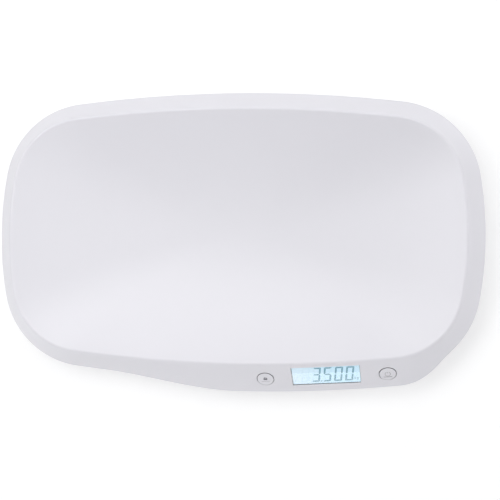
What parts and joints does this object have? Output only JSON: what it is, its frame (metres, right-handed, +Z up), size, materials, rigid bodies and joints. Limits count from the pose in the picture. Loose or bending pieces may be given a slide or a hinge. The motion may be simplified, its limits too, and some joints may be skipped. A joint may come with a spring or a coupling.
{
  "type": "digital baby weighing scale",
  "caption": "Shallow one-piece baby weighing scale: dished white tray, sloping skirt, offset front control panel with a display and push buttons, battery door and load-cell feet.",
  "frame": {"origin": "on the ground under the middle of the whole scale", "axes": "+X along the tray to the right, +Y to the back, +Z up; the control panel faces -Y"},
  "size_m": [0.551, 0.3352, 0.062],
  "materials": {
    "shell_white": "satin",
    "door_white": "satin",
    "button_white": "satin",
    "clear_window": "gloss",
    "lcd_cyan": "gloss",
    "black_foam": "matte",
    "milky_guide": "satin",
    "holder_white": "matte",
    "grey_elastomer": "matte",
    "board_green": "satin",
    "chip_black": "matte",
    "connector_cream": "satin",
    "plunger_black": "satin",
    "screw_steel": "satin",
    "contact_steel": "polished",
    "battery_jacket": "satin",
    "cell_steel": "brushed",
    "cup_white": "satin",
    "pad_grey": "matte",
    "lead_black": "matte"
  },
  "bodies": {
    "housing": {"battery_1": "battery_jacket", "battery_2": "battery_jacket", "battery_3": "battery_jacket", "battery_4": "battery_jacket", "battery_lead": "lead_black", "board_chips": "chip_black", "board_connectors": "connector_cream", "board_screws": "screw_steel", "buzzer": "chip_black", "cell_lead_left_back": "lead_black", "cell_lead_left_front": "lead_black", "cell_lead_right_back": "lead_black", "cell_lead_right_front": "lead_black", "contact_plates": "contact_steel", "contact_springs": "contact_steel", "contact_strip": "grey_elastomer", "display_backlight": "milky_guide", "display_gasket": "black_foam", "display_holder": "holder_white", "display_panel": "lcd_cyan", "display_window": "clear_window", "hold_switch": "chip_black", "load_cell_left_back": "cell_steel", "load_cell_left_front": "cell_steel", "load_cell_right_back": "cell_steel", "load_cell_right_front": "cell_steel", "lower_shell": "shell_white", "main_board": "board_green", "power_switch": "chip_black", "shell_screws": "screw_steel", "upper_shell": "shell_white"},
    "hold_key": {"hold_button": "button_white", "hold_plunger": "plunger_black"},
    "power_key": {"power_button": "button_white", "power_plunger": "plunger_black"},
    "door": {"battery_door": "door_white"},
    "foot_left_front": {"foot_cup_left_front": "cup_white", "foot_pad_left_front": "pad_grey", "load_tongue_left_front": "cell_steel", "foot_screw_left_front": "screw_steel"},
    "foot_left_back": {"foot_cup_left_back": "cup_white", "foot_pad_left_back": "pad_grey", "load_tongue_left_back": "cell_steel", "foot_screw_left_back": "screw_steel"},
    "foot_right_front": {"foot_cup_right_front": "cup_white", "foot_pad_right_front": "pad_grey", "load_tongue_right_front": "cell_steel", "foot_screw_right_front": "screw_steel"},
    "foot_right_back": {"foot_cup_right_back": "cup_white", "foot_pad_right_back": "pad_grey", "load_tongue_right_back": "cell_steel", "foot_screw_right_back": "screw_steel"}
  },
  "joints": [
    {"name": "hold_press", "type": "slide", "parent": "housing", "child": "hold_key", "axis": [-0.0432, 0.6341, -0.7721], "range_m": [0, 0.0006], "stiffness_N_per_m": 2500, "springref_m": -0.0002},
    {"name": "power_press", "type": "slide", "parent": "housing", "child": "power_key", "axis": [-0.0432, 0.6341, -0.7721], "range_m": [0, 0.0006], "stiffness_N_per_m": 2500, "springref_m": -0.0002},
    {"name": "door_slide", "type": "slide", "parent": "housing", "child": "door", "axis": [0, 1, 0], "range_m": [0, 0.04]},
    {"name": "foot_give_left_front", "type": "slide", "parent": "housing", "child": "foot_left_front", "axis": [0, 0, 1], "range_m": [0, 0.0005], "stiffness_N_per_m": 20000, "springref_m": -0.0003},
    {"name": "foot_give_left_back", "type": "slide", "parent": "housing", "child": "foot_left_back", "axis": [0, 0, 1], "range_m": [0, 0.0005], "stiffness_N_per_m": 20000, "springref_m": -0.0003},
    {"name": "foot_give_right_front", "type": "slide", "parent": "housing", "child": "foot_right_front", "axis": [0, 0, 1], "range_m": [0, 0.0005], "stiffness_N_per_m": 20000, "springref_m": -0.0003},
    {"name": "foot_give_right_back", "type": "slide", "parent": "housing", "child": "foot_right_back", "axis": [0, 0, 1], "range_m": [0, 0.0005], "stiffness_N_per_m": 20000, "springref_m": -0.0003}
  ]
}
